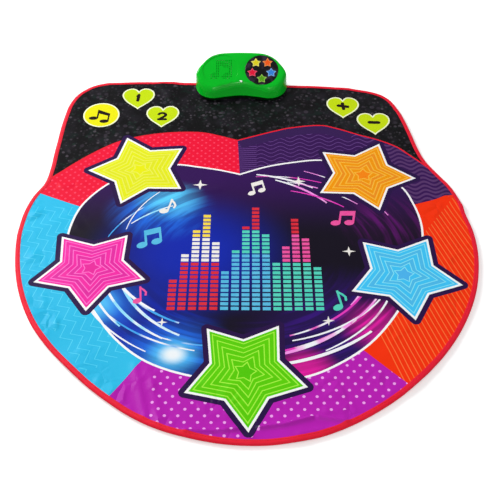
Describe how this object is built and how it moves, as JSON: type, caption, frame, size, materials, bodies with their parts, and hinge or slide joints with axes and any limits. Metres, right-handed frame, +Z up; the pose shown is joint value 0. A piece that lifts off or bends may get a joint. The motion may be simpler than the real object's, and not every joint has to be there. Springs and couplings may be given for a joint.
{
  "type": "electronic dance mat",
  "caption": "Soft floor dance mat with sprung star pads, touch keys on a rounded header panel, a bound edge and a wedge-shaped speaker and light box clamped on its far edge.",
  "frame": {"origin": "middle of the whole object's footprint, on the floor", "axes": "+Z up, +Y from the dancer towards the control box, +X to the dancer's right"},
  "size_m": [0.9036, 1.0072, 0.0732],
  "materials": {
    "backing": "coarse non-slip weave",
    "film": "printed polyester film",
    "foam": "soft white foam",
    "print": "printed vinyl, soft sheen",
    "binding": "folded woven tape",
    "carbon": "carbon print",
    "key": "printed vinyl, soft sheen",
    "shell": "polished moulded plastic",
    "base": "satin moulded plastic",
    "window": "glossy black",
    "pilot": "clear moulded lens",
    "board": "solder mask",
    "steel": "plated steel",
    "cone": "pressed paper",
    "magnet": "ferrite",
    "cell": "printed sleeve",
    "rubber": "moulded rubber",
    "knob": "fine spark texture",
    "star_yellow": "printed vinyl, soft sheen",
    "star_orange": "printed vinyl, soft sheen",
    "star_pink": "printed vinyl, soft sheen",
    "star_blue": "printed vinyl, soft sheen",
    "star_green": "printed vinyl, soft sheen"
  },
  "bodies": {
    "mat": {"backing_sheet": "backing", "circuit_film": "film", "foam_spacer": "foam", "printed_sheet": "print", "edge_binding": "binding", "clamp_plate": "steel", "ribbon_tail": "film", "base_shell": "base", "top_shell": "shell", "window_plate": "window", "pilot_lens": "pilot", "circuit_board": "board", "speaker_frame": "steel", "speaker_cone": "cone", "speaker_magnet": "magnet", "contact_strip_left": "steel", "contact_plate_front": "steel", "contact_plate_rear": "steel", "battery_door": "base", "door_screw": "steel", "switch_body": "steel", "foot_left": "rubber", "foot_right": "rubber", "battery_cell_1": "cell", "battery_cell_2": "cell", "battery_cell_3": "cell", "battery_cell_4": "cell", "case_screw_front_left": "steel", "case_screw_front_right": "steel", "case_screw_rear_left": "steel", "case_screw_rear_right": "steel", "light_lens_yellow": "star_yellow", "light_lens_orange": "star_orange", "light_lens_pink": "star_pink", "light_lens_blue": "star_blue", "light_lens_green": "star_green"},
    "star_yellow": {"star_pad_yellow": "star_yellow", "star_contact_yellow": "carbon"},
    "star_orange": {"star_pad_orange": "star_orange", "star_contact_orange": "carbon"},
    "star_pink": {"star_pad_pink": "star_pink", "star_contact_pink": "carbon"},
    "star_blue": {"star_pad_blue": "star_blue", "star_contact_blue": "carbon"},
    "star_green": {"star_pad_green": "star_green", "star_contact_green": "carbon"},
    "key_note": {"key_pad_note": "key", "key_contact_note": "carbon"},
    "key_one": {"key_pad_one": "key", "key_contact_one": "carbon"},
    "key_two": {"key_pad_two": "key", "key_contact_two": "carbon"},
    "key_plus": {"key_pad_plus": "key", "key_contact_plus": "carbon"},
    "key_minus": {"key_pad_minus": "key", "key_contact_minus": "carbon"},
    "switch": {"switch_knob": "knob"}
  },
  "joints": [
    {"name": "press_star_yellow", "type": "slide", "parent": "mat", "child": "star_yellow", "axis": [0, 0, -1], "range_m": [0, 0.002], "stiffness_N_per_m": 2500},
    {"name": "press_star_orange", "type": "slide", "parent": "mat", "child": "star_orange", "axis": [0, 0, -1], "range_m": [0, 0.002], "stiffness_N_per_m": 2500},
    {"name": "press_star_pink", "type": "slide", "parent": "mat", "child": "star_pink", "axis": [0, 0, -1], "range_m": [0, 0.002], "stiffness_N_per_m": 2500},
    {"name": "press_star_blue", "type": "slide", "parent": "mat", "child": "star_blue", "axis": [0, 0, -1], "range_m": [0, 0.002], "stiffness_N_per_m": 2500},
    {"name": "press_star_green", "type": "slide", "parent": "mat", "child": "star_green", "axis": [0, 0, -1], "range_m": [0, 0.002], "stiffness_N_per_m": 2500},
    {"name": "press_key_note", "type": "slide", "parent": "mat", "child": "key_note", "axis": [0, 0, -1], "range_m": [0, 0.002], "stiffness_N_per_m": 1500},
    {"name": "press_key_one", "type": "slide", "parent": "mat", "child": "key_one", "axis": [0, 0, -1], "range_m": [0, 0.002], "stiffness_N_per_m": 1500},
    {"name": "press_key_two", "type": "slide", "parent": "mat", "child": "key_two", "axis": [0, 0, -1], "range_m": [0, 0.002], "stiffness_N_per_m": 1500},
    {"name": "press_key_plus", "type": "slide", "parent": "mat", "child": "key_plus", "axis": [0, 0, -1], "range_m": [0, 0.002], "stiffness_N_per_m": 1500},
    {"name": "press_key_minus", "type": "slide", "parent": "mat", "child": "key_minus", "axis": [0, 0, -1], "range_m": [0, 0.002], "stiffness_N_per_m": 1500},
    {"name": "power_slide", "type": "slide", "parent": "mat", "child": "switch", "axis": [1, 0, 0], "range_m": [0, 0.004]}
  ]
}
